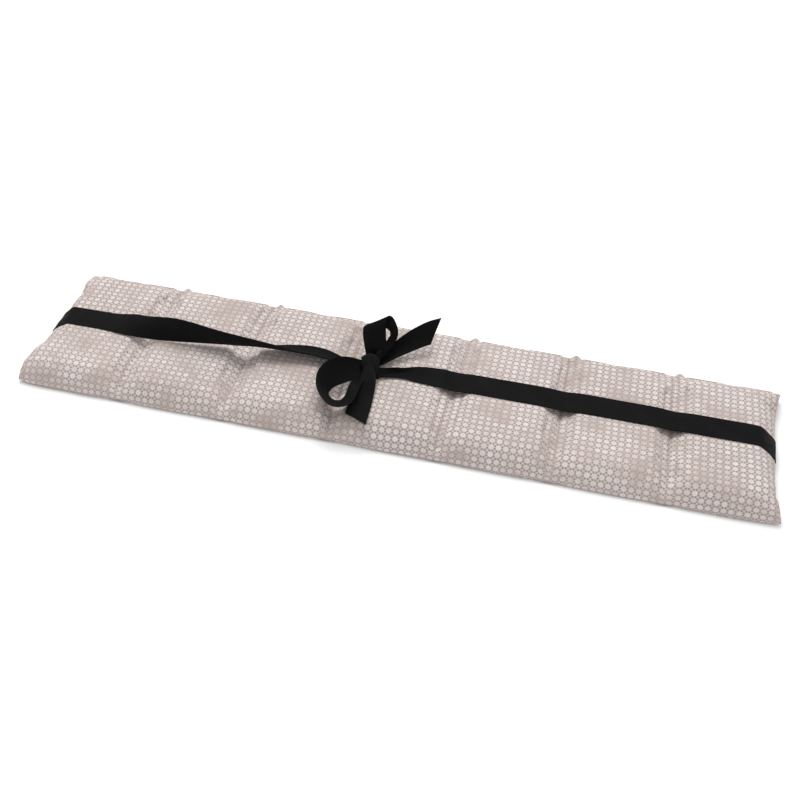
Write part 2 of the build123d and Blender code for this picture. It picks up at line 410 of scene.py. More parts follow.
def seam_line_z(y):
    """Height of a cross seam: over the hinge, down to the table at the front and up at the back edge."""
    rise = 0.6 * MM * smooth_step((y - 0.80 * HALF_WIDTH) / (0.2 * HALF_WIDTH))
    fall = 5.2 * MM * smooth_step((-y - 0.80 * HALF_WIDTH) / (0.2 * HALF_WIDTH))
    return HINGE_Z + 1.0 * MM + rise - fall


def end_pull(number, y):
    """How far a pack end is drawn in between its corners: hardly at the left end, more at the right one."""
    depth = 0.6 * MM if number == 1 else 5.0 * MM
    return depth * (1 - np.abs(y / HALF_WIDTH) ** 4)


def chamber_grid(number):
    """One chamber's flat cells and its outline, as arrays of rows by columns."""
    left, right = EDGES[number - 1], EDGES[number]
    columns = round((right - left) / CELL)
    rows = round(2 * HALF_WIDTH / CELL)
    u, v = np.meshgrid(np.linspace(-1, 1, columns + 1), np.linspace(-1, 1, rows + 1))
    seed = number * 11.0
    # v = 1 is the sewn back edge, v = -1 the folded front edge
    back = HALF_WIDTH - 1.0 * MM - 1.2 * MM * (1 - u**2) + 0.15 * MM * wave(u * 30, seed, 12)
    front = -HALF_WIDTH + 0.6 * MM - 0.6 * MM * (1 - u**6) + 0.2 * MM * wave(u * 30, seed + 3, 12)
    y = front + (back - front) * (v + 1) / 2
    room = SEAM_HALF + FOLD_ROOM * np.abs(seam_line_z(y) - HINGE_Z)
    x_left = left + (end_pull(number, y) if number == 1 else room)
    x_right = right - (end_pull(number, y) if number == CHAMBERS else room)
    x = x_left + (x_right - x_left) * (u + 1) / 2
    return u, v, x, y, rows, columns


def start_heights(number, u, v, x, y):
    """Upper and lower surface of one chamber before it is filled, and the height of its rim."""
    end = ((number == 1) & (u < 0)) | ((number == CHAMBERS) & (u > 0))
    across = np.where(end, (1 - np.abs(u) ** 5) ** 0.6, (1 - np.abs(u) ** 6) ** 0.6)
    along = np.where(v < 0, (1 - np.abs(v) ** 4.5) ** 0.6, (1 - np.abs(v) ** 4) ** 0.62)
    swell = across * along
    dip = 1.0 * MM * bell(u - 0.6, 0.3)
    rim_back = 0.8 * MM - dip
    share = smooth_step((v - 0.86) / 0.14)
    rim = seam_line_z(y) + rim_back * share * (1 - np.abs(u) ** 10)
    upper = rim + (HINGE_Z + CROWN - rim) * swell
    flat = (1 - np.abs(u) ** 6) ** 0.5 * (1 - np.abs(v) ** 9) ** 0.5
    lower = rim + (HINGE_Z - HEEL - rim) * flat
    return upper, lower, rim


def build_chamber_mesh(number):
    """Closed start mesh of one chamber, its cloth coordinates and the layout that later steps need."""
    u, v, x, y, rows, columns = chamber_grid(number)
    upper, lower, rim = start_heights(number, u, v, x, y)
    index_up = np.arange((rows + 1) * (columns + 1)).reshape(rows + 1, columns + 1)
    edge = (np.abs(u) > 0.9999) | (np.abs(v) > 0.9999)
    upper[edge] = rim[edge]
    index_low = np.full_like(index_up, -1)
    inner = ~edge
    index_low[inner] = index_up.size + np.arange(inner.sum())
    index_low[edge] = index_up[edge]
    points = np.vstack([
        np.stack([x, y, upper], axis=-1).reshape(-1, 3),
        np.stack([x[inner], y[inner], lower[inner]], axis=-1),
    ])
    faces, cells = [], []
    for layer, sign in ((index_up, 1), (index_low, -1)):
        for r in range(rows):
            for c in range(columns):
                corners = [(r, c), (r, c + 1), (r + 1, c + 1), (r + 1, c)]
                if sign < 0:
                    corners.reverse()
                faces.append([int(layer[k]) for k in corners])
                cells.extend((k[0], k[1], sign) for k in corners)
    mesh = bpy.data.meshes.new(f"chamber_{number}")
    mesh.from_pydata(points.tolist(), [], faces)
    sewn = (np.abs(u) > 0.9999) | (v > 0.9999)
    pins = index_up[sewn]
    front = index_up[(v < -0.9999) & (np.abs(u) <= 0.9999)]
    layout = {"up": index_up, "low": index_low, "cells": np.array(cells), "pins": pins, "front": front}
    return mesh, points, layout


def run_lengths(line):
    """Distance along a line of points, from its start."""
    return np.concatenate([[0], np.cumsum(np.linalg.norm(np.diff(line, axis=0), axis=1))])


def lay_print(mesh, points, layout):
    """Cloth coordinates in metres: along the pack, and over the filled shape from front fold to back edge."""
    up, low, cells = layout["up"], layout["low"], layout["cells"]
    middle_column = up.shape[1] // 2
    over = run_lengths(points[up[:, middle_column]])
    below = -run_lengths(points[low[:, middle_column]])
    index = np.where(cells[:, 2] > 0, up[cells[:, 0], cells[:, 1]], low[cells[:, 0], cells[:, 1]])
    x = points[index, 0]
    y = np.where(cells[:, 2] > 0, over[cells[:, 0]], below[cells[:, 0]])
    layer = mesh.uv_layers.new(name="cloth")
    layer.data.foreach_set("uv", np.stack([x, y], axis=-1).astype(np.float32).ravel())
    layout["over"] = over


def fill_chambers(meshes):
    """Cloth simulation of all chambers in one go: the cloth grows a little and fills out."""
    joined_points, joined_faces, pins, fronts, spans = [], [], [], [], []
    for mesh, points, layout in meshes:
        base = sum(len(p) for p in joined_points)
        spans.append((base, base + len(points)))
        joined_points.append(points)
        joined_faces.extend([base + i for i in face.vertices] for face in mesh.polygons)
        pins.extend((layout["pins"] + base).tolist())
        fronts.extend((layout["front"] + base).tolist())
    start = np.vstack(joined_points)
    mesh = bpy.data.meshes.new("cloth_start")
    mesh.from_pydata(start.tolist(), [], joined_faces)
    cloth_object = bpy.data.objects.new("cloth_start", mesh)
    bpy.context.scene.collection.objects.link(cloth_object)
    group = cloth_object.vertex_groups.new(name="pins")
    group.add(pins, 1.0, "REPLACE")
    group.add(fronts, 0.35, "REPLACE")
    cloth = cloth_object.modifiers.new("cloth", "CLOTH")
    settings = cloth.settings
    settings.vertex_group_mass = "pins"
    settings.use_pressure = True
    settings.uniform_pressure_force = PRESSURE
    settings.shrink_min = CLOTH_GROWTH
    settings.quality = 5
    settings.mass = 0.2
    settings.bending_stiffness = 0.2
    settings.effector_weights.gravity = 0.0
    cloth.collision_settings.use_collision = False
    cloth.point_cache.frame_end = CLOTH_FRAMES
    scene = bpy.context.scene
    for step in range(1, CLOTH_FRAMES + 1):
        scene.frame_set(step)
    shown = cloth_object.evaluated_get(bpy.context.evaluated_depsgraph_get())
    result = np.zeros(len(start) * 3, np.float32)
    shown.data.vertices.foreach_get("co", result)
    result = result.reshape(-1, 3).astype(float)
    scene.frame_set(1)
    bpy.data.objects.remove(cloth_object)
    move = result - start
    length = np.linalg.norm(move, axis=1, keepdims=True)
    result = start + move * np.minimum(1.0, CLOTH_CAP / np.maximum(length, 1e-9))
    return [result[a:b] for a, b in spans]


def settle(number, points, pins):
    """Shapes a filled chamber by what touches it: the table, the ribbon and slack cloth at its seams."""
    x, y, z = points.T.copy()
    pinned = np.zeros(len(points), bool)
    pinned[pins] = True
    left, right = EDGES[number - 1], EDGES[number]
    free = ~pinned
    top = z > HINGE_Z
    slack = 1.0 * MM * field(points, number, 34 * MM) + 0.35 * MM * field(points, number + 40, 13 * MM)
    z = np.where(free & top, z + slack * smooth_step((z - HINGE_Z) / (8 * MM)), z)
    # puckers run out of each seam
    for seam, place in ((number - 1, left), (number, right)):
        away = np.abs(x - place)
        pucker = wave(y, seam + 0.5, 6.5 * MM) * bell(away - 5 * MM, 6 * MM)
        z = np.where(free & top, z + 0.7 * MM * pucker, z)
        # walls stay clear of the next chamber when the pack is folded
        least = SEAM_HALF + FOLD_ROOM * np.abs(z - HINGE_Z)
        pushed = np.sign(x - place) * np.maximum(away, least) + place
        x = np.where(free & (0 < seam < CHAMBERS), pushed, x)
    away = np.abs(y - HALF_WIDTH)
    pucker = wave(x, number + 20.5, 9 * MM) * bell(away - 8 * MM, 6 * MM)
    z = np.where(free & top, z + 0.25 * MM * pucker, z)
    # soft ceiling, a little lower under the ribbon
    ceiling = CREST_Z + 0.4 * MM - 0.85 * np.maximum(y - BACK_SLOPE_FROM, 0)
    over = np.maximum(z - (ceiling - 4 * MM), 0)
    z = np.where(top, z - over + 4 * MM * np.tanh(over / (4 * MM)), z)
    pressed = PRESSED_Z - 0.5 * MM
    under = bell(y, 15 * MM) * np.maximum(z - pressed, 0)
    z = np.where(top & free, z - under, z)
    # flat where it rests on the table
    sunk = np.minimum(z - 1.2 * MM, 0)
    z = np.where(z < 1.2 * MM, 1.2 * MM + 1.0 * MM * np.tanh(sunk / (1.0 * MM)), z)
    return np.stack([x, y, z], axis=-1)


def subdivide(piece, levels=1):
    """Applies a smooth subdivision."""
    modifier = piece.modifiers.new("smooth", "SUBSURF")
    modifier.levels = modifier.render_levels = levels
    shown = piece.evaluated_get(bpy.context.evaluated_depsgraph_get())
    mesh = bpy.data.meshes.new_from_object(shown)
    piece.modifiers.clear()
    piece.data = mesh
    for polygon in mesh.polygons:
        polygon.use_smooth = True


def make_chambers(cotton, filling, thread):
    """Seven filled chambers, each with its portion of herbs inside."""
    meshes = [build_chamber_mesh(number) for number in range(1, CHAMBERS + 1)]
    filled = fill_chambers(meshes)
    pieces = []
    for number, ((mesh, _, layout), points) in enumerate(zip(meshes, filled), 1):
        settled = settle(number, points, layout["pins"])
        lay_print(mesh, settled, layout)
        layout["points"] = settled
        mesh.vertices.foreach_set("co", settled.astype(np.float32).ravel())
        mesh.update()
        piece = link(mesh, f"chamber_{number}_cover", cotton)
        subdivide(piece)
        make_filling(number, piece, filling)
        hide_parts(f"chamber_{number}_upper_panel", f"chamber_{number}_lower_panel")
        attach(piece, f"chamber_{number}")
        pieces.append(piece)
    for seam in range(1, CHAMBERS):
        make_valley(seam, meshes[seam - 1][2], meshes[seam][2], cotton, thread)
    make_closing_threads([layout for _, _, layout in meshes], thread)
    make_end_threads([layout for _, _, layout in meshes], thread)
    return pieces


def make_valley(seam, left, right, cotton, thread):
    """The cloth dipping to one cross seam, from chamber to chamber, with its row of stitches."""
    place = SEAMS[seam - 1]
    left_side = column_near(left, place - VALLEY_REACH)
    right_side = column_near(right, place + VALLEY_REACH)
    rows = len(left_side)
    share = np.linspace(0, 1, VALLEY_CELLS + 1)[None, :, None]
    grid = left_side[:, None, :] * (1 - share) + right_side[:, None, :] * share
    offset = grid[..., 0] - place
    back = smooth_step((grid[..., 1] - 0.86 * HALF_WIDTH) / (0.14 * HALF_WIDTH))
    depth = np.clip((grid[..., 2] - 3 * MM) * 0.45, 0, VALLEY_DEPTH) * (1 - 0.8 * back)
    crease = np.exp(-((np.abs(offset) / (2.9 * MM)) ** 0.95))
    edge = bell(np.abs(offset) - VALLEY_REACH, 2 * MM)
    grid[..., 2] -= depth * crease
    wrinkle = wave(grid[..., 1], seam + 60.5, 7 * MM) * bell(np.abs(offset) - 4 * MM, 3 * MM)
    grid[..., 2] += 0.45 * MM * wrinkle * (depth > 2 * MM) - 0.1 * MM * edge
    # A small ear right of the seam at the sewn edge, and a dip left of it.
    ear = 5.0 * MM * bell(offset - 2.8 * MM, 3.4 * MM) - 1.2 * MM * bell(offset + 4 * MM, 3 * MM)
    grid[..., 2] += back * ear
    # A skirt down to the seam at the back.
    skirt = grid[-1:].copy()
    skirt[..., 2] = HINGE_Z
    skirt[..., 1] -= 1.0 * MM
    middle = (grid[-1:] + skirt) / 2
    full = np.vstack([grid, middle, skirt])
    over = np.concatenate([left["over"], left["over"][-1] + 4 * MM * np.arange(1, 3)])
    mesh = grid_mesh(f"valley_{seam}", full, over)
    piece = link(mesh, f"cross_seam_{seam}_{seam + 1}_cloth", cotton)
    subdivide(piece)
    blend_over(piece)
    line = grid[3:-1, VALLEY_CELLS // 2] + np.array([0, 0, 0.25 * MM])
    stitches = make_thread_piece(f"cross_seam_{seam}_{seam + 1}_stitches", stitch_lines(line), thread)
    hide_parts(f"cross_seam_{seam}_{seam + 1}_thread")
    blend_over(stitches)


def column_near(layout, x):
    """The column of a chamber's upper cloth nearest a place along the pack, shifted to lie exactly there."""
    points, up = layout["points"], layout["up"]
    middle = points[up[up.shape[0] // 2]]
    column = int(np.argmin(np.abs(middle[:, 0] - x)))
    line = points[up[:, column]].copy()
    line[:, 0] = x
    return line


def grid_mesh(name, grid, over):
    """Open mesh of a grid of points, printed in step with the chambers."""
    rows, columns = grid.shape[:2]
    index = np.arange(rows * columns).reshape(rows, columns)
    faces, coords = [], []
    for r in range(rows - 1):
        for c in range(columns - 1):
            corners = [(r, c), (r, c + 1), (r + 1, c + 1), (r + 1, c)]
            faces.append([int(index[k]) for k in corners])
            coords.extend((float(grid[k][0]), float(over[k[0]])) for k in corners)
    mesh = bpy.data.meshes.new(name)
    mesh.from_pydata(grid.reshape(-1, 3).tolist(), [], faces)
    mesh.uv_layers.new(name="cloth").data.foreach_set("uv", np.array(coords, np.float32).ravel())
    return mesh


def tube_parts(line, radius, sides=6):
    """Points and faces of a capped tube along a line."""
    line = np.asarray(line, float)
    forward = np.gradient(line, axis=0)
    forward /= np.maximum(np.linalg.norm(forward, axis=1, keepdims=True), 1e-12)
    up = np.tile([0.0, 0.05, 1.0], (len(line), 1))
    first = np.cross(forward, up)
    first /= np.maximum(np.linalg.norm(first, axis=1, keepdims=True), 1e-12)
    second = np.cross(first, forward)
    angles = np.arange(sides) * 2 * math.pi / sides
    rings = (
        line[:, None, :]
        + radius * np.cos(angles)[None, :, None] * first[:, None, :]
        + radius * np.sin(angles)[None, :, None] * second[:, None, :]
    )
    faces = []
    for r in range(len(line) - 1):
        for c in range(sides):
            d = (c + 1) % sides
            faces.append((r * sides + c, r * sides + d, (r + 1) * sides + d, (r + 1) * sides + c))
    faces.append(tuple(reversed(range(sides))))
    faces.append(tuple((len(line) - 1) * sides + k for k in range(sides)))
    return rings.reshape(-1, 3), faces


def make_thread_piece(name, lines, material):
    """Several lengths of thread as one piece."""
    points, faces = [], []
    for line in lines:
        base = len(points)
        more, over = tube_parts(line, THREAD_R)
        points.extend(map(tuple, more))
        faces.extend(tuple(base + k for k in face) for face in over)
    mesh = bpy.data.meshes.new(name)
    mesh.from_pydata(points, [], faces)
    for polygon in mesh.polygons:
        polygon.use_smooth = True
    piece = link(mesh, name, material)
    return piece


def along(line, distances):
    """Points at given distances along a line of points."""
    total = run_lengths(line)
    return np.stack([np.interp(distances, total, line[:, k]) for k in range(3)], axis=-1)


def stitch_lines(line):
    """A row of straight stitches, each dipping into the cloth at both ends."""
    total = run_lengths(line)[-1]
    lines = []
    for start in np.arange(0, total - STITCH, STITCH):
        stitch = along(line, start + STITCH * np.array([0.06, 0.2, 0.5, 0.8, 0.94]))
        stitch[:, 2] += np.array([-0.35, 0.1, 0.2, 0.1, -0.35]) * MM
        lines.append(stitch)
    return lines


def zigzag(outer, inner, pitch):
    """Overlock line between the outer edge of the cloth and a line inside it."""
    total = run_lengths(outer)[-1]
    count = int(total / pitch)
    points = []
    for k in range(count * 2 + 1):
        line = outer if k % 2 == 0 else inner
        share = k / (count * 2)
        points.append(along(line, [share * run_lengths(line)[-1]])[0])
    return np.array(points)


def make_closing_threads(layouts, material):
    """Overlocked closing edge along the back of each chamber."""
    for number, layout in enumerate(layouts, 1):
        points, up = layout["points"], layout["up"]
        outer = points[up[-1, 3:-3]] + np.array([0, 0.3, 0.1]) * MM
        inner = points[up[-2, 3:-3]] + np.array([0, 0, 0.45]) * MM
        line = zigzag(outer, inner, OVERLOCK)
        piece = make_thread_piece(f"chamber_{number}_overlock", [line, inner], material)
        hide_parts(f"chamber_{number}_closing_thread")
        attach(piece, f"chamber_{number}")


def make_end_threads(layouts, material):
    """Stitching close to the edge at both ends of the pack."""
    for number, column, name, sign in ((1, 1, "left", 1), (CHAMBERS, -2, "right", -1)):
        layout = layouts[number - 1]
        line = layout["points"][layout["up"][2:-2, column]] + np.array([0.6 * sign, 0, 0.3]) * MM
        clear = np.abs(line[:, 1] - RIBBON_SHIFT / 2) > RIBBON_W / 2 + 3 * MM
        front, back = line[clear & (line[:, 1] < 0)], line[clear & (line[:, 1] > 0)]
        lines = stitch_lines(front) + stitch_lines(back)
        piece = make_thread_piece(f"{name}_end_stitches", lines, material)
        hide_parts(f"{name}_end_thread")
        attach(piece, f"chamber_{number}")


def make_filling(number, cover, material):
    """The herbs of one chamber: a lumpy mass just inside the cloth."""
    mesh = cover.data.copy()
    mesh.name = f"filling_{number}"
    mesh.materials.clear()
    points = np.zeros(len(mesh.vertices) * 3, np.float32)
    normals = np.zeros(len(mesh.vertices) * 3, np.float32)
    mesh.vertices.foreach_get("co", points)
    mesh.vertices.foreach_get("normal", normals)
    points = points.reshape(-1, 3).astype(float)
    normals = normals.reshape(-1, 3)
    centre = np.array([(EDGES[number - 1] + EDGES[number]) / 2, 0.0, HINGE_Z + 3 * MM])
    points = centre + (points - centre) * np.array([0.965, 0.975, 0.86])
    lumps = np.array([noise.noise(Vector(p) / (3 * MM)) for p in points])
    points -= normals * (0.5 * MM + 0.35 * MM * (lumps[:, None] + 1))
    mesh.vertices.foreach_set("co", points.astype(np.float32).ravel())
    mesh.update()
    piece = link(mesh, f"chamber_{number}_herbs", material)
    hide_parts(f"chamber_{number}_filling")
    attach(piece, f"chamber_{number}")


# ---------------------------------------------------------------- ribbon

class Covers:
    """Where the filled chambers' cloth is, for laying things on it."""

    def __init__(self, pieces):
        points, faces = [], []
        for piece in pieces:
            base = len(points)
            points.extend(v.co.copy() for v in piece.data.vertices)
            faces.extend([base + i for i in face.vertices] for face in piece.data.polygons)
        self.tree = BVHTree.FromPolygons(points, faces)

    def top(self, x, y, default=0.0):
        hit = self.tree.ray_cast(Vector((x, y, 0.2)), Vector((0, 0, -1)))[0]
        return hit.z if hit else default

    def under(self, x, y, default=1.0 * MM):
        hit = self.tree.ray_cast(Vector((x, y, -0.1)), Vector((0, 0, 1)))[0]
        return hit.z if hit else default

    def outside(self, origin, direction):
        """Outermost point of the cloth from origin in a direction."""
        far = Vector(origin) + Vector(direction) * 0.2
        hit = self.tree.ray_cast(far, -Vector(direction))[0]
        return hit if hit else Vector(origin)


def spline(rows, steps):
    """Catmull-Rom curve through rows, with that many steps between each pair."""
    rows = np.array(rows, float)
    padded = np.vstack([2 * rows[0] - rows[1], rows, 2 * rows[-1] - rows[-2]])
    out = []
    for i in range(1, len(padded) - 2):
        a, b, c, d = padded[i - 1:i + 3]
        for t in np.arange(steps) / steps:
            square = (2 * a - 5 * b + 4 * c - d) * t**2
            cube = (3 * b - a - 3 * c + d) * t**3
            out.append(0.5 * (2 * b + (c - a) * t + square + cube))
    out.append(padded[-2])
    return np.array(out)


def tape_grid(stations, steps, full=0.0):
    """Middle surface of a tape through stations of (one edge, other edge, arch), in millimetres.

    Where the edges are drawn together the tape arches up, so that it keeps at least its full width.
    """
    rows = spline([[*a, *b, arch] for a, b, arch in stations], steps) * MM
    chord = np.linalg.norm(rows[:, 3:6] - rows[:, 0:3], axis=1)
    needed = chord * np.sqrt(0.375 * np.maximum(full / chord - 1, 0))
    rows[:, 6] = np.where(np.abs(rows[:, 6]) < needed, np.sign(rows[:, 6]) * needed, rows[:, 6])
    share = np.linspace(0, 1, TAPE_CELLS + 1)[None, :, None]
    first, second, arch = rows[:, None, 0:3], rows[:, None, 3:6], rows[:, 6][:, None, None]
    grid = first + (second - first) * share
    middle = (rows[:, 0:3] + rows[:, 3:6]) / 2
    forward = np.gradient(middle, axis=0)
    normal = np.cross(forward, rows[:, 3:6] - rows[:, 0:3])
    normal /= np.maximum(np.linalg.norm(normal, axis=1, keepdims=True), 1e-12)
    grid = grid + normal[:, None, :] * arch * 4 * share * (1 - share)
    return grid


def tape_mesh(name, grid):
    """Mesh of a tape's middle surface, with its own coordinates in metres."""
    rows, columns = grid.shape[:2]
    middle = grid[:, columns // 2]
    along = np.concatenate([[0], np.cumsum(np.linalg.norm(np.diff(middle, axis=0), axis=1))])
    index = np.arange(rows * columns).reshape(rows, columns)
    faces, coords = [], []
    for r in range(rows - 1):
        for c in range(columns - 1):
            corners = [(r, c), (r + 1, c), (r + 1, c + 1), (r, c + 1)]
            faces.append([int(index[k]) for k in corners])
            coords.extend((RIBBON_W * k[1] / (columns - 1), float(along[k[0]])) for k in corners)
    mesh = bpy.data.meshes.new(name)
    mesh.from_pydata(grid.reshape(-1, 3).tolist(), [], faces)
    mesh.uv_layers.new(name="tape").data.foreach_set("uv", np.array(coords, np.float32).ravel())
    return mesh, float(along[-1])


def make_tape(name, grid, material):
    """One stretch of ribbon with its thickness."""
    mesh, length = tape_mesh(name, grid)
    piece = link(mesh, name, material)
    thick = piece.modifiers.new("thickness", "SOLIDIFY")
    thick.thickness = TAPE_T
    thick.offset = 0.0
    shown = piece.evaluated_get(bpy.context.evaluated_depsgraph_get())
    solid = bpy.data.meshes.new_from_object(shown)
    piece.modifiers.clear()
    piece.data = solid
    for polygon in solid.polygons:
        polygon.use_smooth = True
    solid.set_sharp_from_angle(angle=math.radians(50))
    return piece


def ribbon_height(x):
    """Middle of the upper run over the chambers, sagging a little at each seam."""
    dips = sum(bell(x - seam, 9 * MM) for seam in SEAMS)
    return CREST_Z + 0.1 * MM - 1.0 * MM * dips


def lay_on(grid, covers, gap=0.55 * MM):
    """Lifts a tape's grid so that it lies on the cloth, never in it."""
    grid = grid.copy()
    for point in grid.reshape(-1, 3):
        point[2] = max(point[2], covers.top(point[0], point[1]) + gap)
    return grid


def flat_run(start, stop, covers, below=False):
    """Flat stretch of ribbon along the pack between two places, on top of it or underneath."""
    count = max(2, round((stop - start) / TAPE_STEP))
    across = np.linspace(-0.5, 0.5, TAPE_CELLS + 1)
    x, share = np.meshgrid(np.linspace(start, stop, count + 1), across, indexing="ij")
    y = share * RIBBON_W + RIBBON_SHIFT * smooth_step((-x - 0.1) / 0.1) + 0.3 * MM * wave(x, 5.0, 40 * MM)
    if below:
        y = share * RIBBON_W
        z = np.array([covers.under(a, b) for a, b in zip(x.ravel(), y.ravel())]).reshape(x.shape)
        z = np.clip(z - 0.45 * MM, 0.42 * MM, 0.8 * MM)
        return np.stack([x, y, z], axis=-1)
    z = ribbon_height(x) + 0.25 * MM * wave(x + 3 * y, 9.0, 25 * MM)
    return lay_on(np.stack([x, y, z], axis=-1), covers)


def push_out(grid, side, pivot_x, covers, gap=0.55 * MM):
    """Moves a tape's grid out of the cloth, round one end of the pack and underneath."""
    grid = grid.copy()
    for point in grid.reshape(-1, 3):
        if side * (point[0] - pivot_x) > 0:
            centre = Vector((pivot_x, point[1], 9 * MM))
            away = (Vector(point) - centre).normalized()
            needed = (covers.outside(centre, away) - centre).length + gap
            if (Vector(point) - centre).length < needed:
                point[:] = centre + away * needed
        elif point[2] < HINGE_Z:
            point[2] = min(point[2], covers.under(point[0], point[1]) - gap)
    grid[..., 2] = np.maximum(grid[..., 2], 0.42 * MM)
    return grid


def end_turn(side, covers):
    """Ribbon round one end of the pack, from the middle of its last chamber below to the same place above."""
    middle = side * (HALF_LENGTH + abs(SEAMS[0])) / 2
    pivot_x = side * (HALF_LENGTH - 17 * MM)
    shift = RIBBON_SHIFT if side < 0 else 0.0
    rows = []
    for angle in np.radians(np.linspace(-90, 90, 23)):
        direction = Vector((side * math.cos(angle), 0.0, math.sin(angle)))
        share = smooth_step((angle + math.pi / 2) / math.pi)
        row = []
        for place in np.linspace(-0.5, 0.5, TAPE_CELLS + 1):
            y = place * RIBBON_W + shift * share
            hit = covers.outside((pivot_x, y, 9 * MM), direction) + direction * 0.55 * MM
            row.append((hit.x, hit.y, hit.z))
        rows.append(row)
    turn = np.array(rows)
    for _ in range(3):
        turn[1:-1] = (turn[:-2] + 2 * turn[1:-1] + turn[2:]) / 4
    turn[..., 2] = np.maximum(turn[..., 2], 0.42 * MM)
    start, stop = sorted((middle, pivot_x))
    lower = flat_run(start, stop, covers, below=True)
    upper = flat_run(start, stop, covers)
    if side < 0:
        lower = lower[::-1]
    else:
        upper = upper[::-1]
    whole = np.vstack([lower[:-1], turn[1:-1], upper[1:]])
    for _ in range(14):
        whole[1:-1] = (whole[:-2] + 2 * whole[1:-1] + whole[2:]) / 4
    above = whole[..., 2] > HINGE_Z + 4 * MM
    lifted = lay_on(whole, covers, 0.5 * MM)
    whole[above] = lifted[above]
    whole = push_out(whole, side, pivot_x, covers)
    whole[1:-1] = (whole[:-2] + 4 * whole[1:-1] + whole[2:]) / 6
    return push_out(whole, side, pivot_x, covers)


# Left run of the upper ribbon: it stands on its edge, turns over towards the front and goes flat at the knot.
# Each row: near edge, far edge, arch, in millimetres.
TWIST = (
    ((-257, -14.8, 21.4), (-257, 8.0, 21.6), 0.0),
    ((-245, -15.6, 21.5), (-249, 6.4, 22.5), 0.5),
    ((-234, -17, 21.7), (-238, 4.4, 25.6), 1.2),
    ((-221, -17.5, 21.8), (-226, 0, 31), 1.8),
    ((-207, -17, 21.8), (-211, -5.5, 36), 2.0),
    ((-190, -14.5, 21.8), (-190, -10, 42), 2.0),
    ((-175, -12, 22), (-173, -12.4, 43), 2.0),
    ((-161, -10, 22.5), (-157, -15, 42.6), 2.0),
    ((-146, -8, 23), (-142, -16, 41.5), 2.0),
    ((-133, -6.5, 23.5), (-129, -15.6, 40), 2.2),
    ((-119, -2.5, 23.6), (-114, -15.6, 38.6), 2.6),
    ((-108, 1, 23.5), (-103, -14.5, 36.6), 3.0),
    ((-98, 5, 23), (-94, -12.8, 33.6), 3.0),
    ((-86, 8.6, 22.6), (-83, -11, 31), 3.0),
    ((-74, 9.6, 22.6), (-71, -10, 30), 3.0),
    ((-62, 7, 23), (-58, -10.6, 29), 3.0),
    ((-50, 1, 24), (-46, -12.6, 28.4), 3.0),
    ((-36, -5, 25), (-34, -13, 28), 2.0),
    ((-26, -6, 26), (-25, -11, 27.6), 1.0),
)

# Right run: gathered where it leaves the knot, flat from 20 mm on
SPREAD = (
    ((-26, -14, 24), (-25, -6, 26), -1.0),
    ((-15.5, -14, 23.2), (-15, -4.5, 25), -2.0),
    ((-6, -10.6, 22.6), (-7, -1, 24.6), -4.5),
    ((2, -9.2, 22.2), (0.6, 2, 23.6), -4.0),
    ((10, -10, 22), (8, 6.5, 22.6), -2.4),
    ((21, -11.2, 21.8), (18, 9.6, 21.9), -0.8),
    ((34, -11.5, 21.4), (33, 11.3, 21.4), 0.0),
)


def cut_rows(grid, start, stop):
    """The rows of a long tape whose middle lies between two places."""
    middle = grid[:, TAPE_CELLS // 2, 0]
    keep = (middle >= start - 1e-6) & (middle <= stop + 1e-6)
    return grid[keep]


def blend_over(piece):
    """Bakes the piece's placement into its mesh."""
    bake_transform(piece)


def make_ribbon(material, covers):
    """The ribbon right round the pack, in stretches from mid-chamber to mid-chamber."""
    middles = [(a + b) / 2 for a, b in zip(EDGES, EDGES[1:])]
    for side, number, end in ((-1, 1, "left"), (1, CHAMBERS, "right")):
        piece = make_tape(f"ribbon_{end}_end", end_turn(side, covers), material)
        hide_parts(f"ribbon_{end}_turn")
        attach(piece, f"chamber_{number}")
    twist = lay_on(tape_grid(TWIST, 8), covers, 0.5 * MM)
    spread = lay_on(tape_grid(SPREAD, 6), covers, 0.5 * MM)
    cuts = [row[TAPE_CELLS // 2, 0] for row in twist]
    second_cut = min(cuts, key=lambda value: abs(value - middles[1]))
    third_cut = min(cuts, key=lambda value: abs(value - middles[2]))
    tops = {
        1: cut_rows(twist, -1.0, second_cut),
        2: cut_rows(twist, second_cut, third_cut),
        3: cut_rows(twist, third_cut, 1.0),
        4: np.vstack([spread, flat_run(33.7 * MM, middles[4], covers)[1:]]),
        5: flat_run(middles[4], middles[5], covers),
        6: flat_run(middles[5], middles[6], covers),
    }
    tops[1][0] = flat_run(middles[0], middles[1], covers)[0]
    stands_for = {1: (2,), 2: (3,), 3: (), 4: (4,), 5: (5,), 6: (6,)}
    for seam, grid in tops.items():
        piece = make_tape(f"ribbon_top_{seam}_{seam + 1}", grid, material)
        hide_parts(*(f"ribbon_top_{n}" for n in stands_for[seam]))
        blend_over(piece)
    below = {1: (2,), 2: (3,), 3: (4,), 4: (), 5: (5,), 6: (6,)}
    for seam in range(1, CHAMBERS):
        grid = flat_run(middles[seam - 1], middles[seam], covers, below=True)
        piece = make_tape(f"ribbon_bottom_{seam}_{seam + 1}", grid, material)
        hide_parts(*(f"ribbon_bottom_{n}" for n in below[seam]))
        blend_over(piece)


# ---------------------------------------------------------------- bow

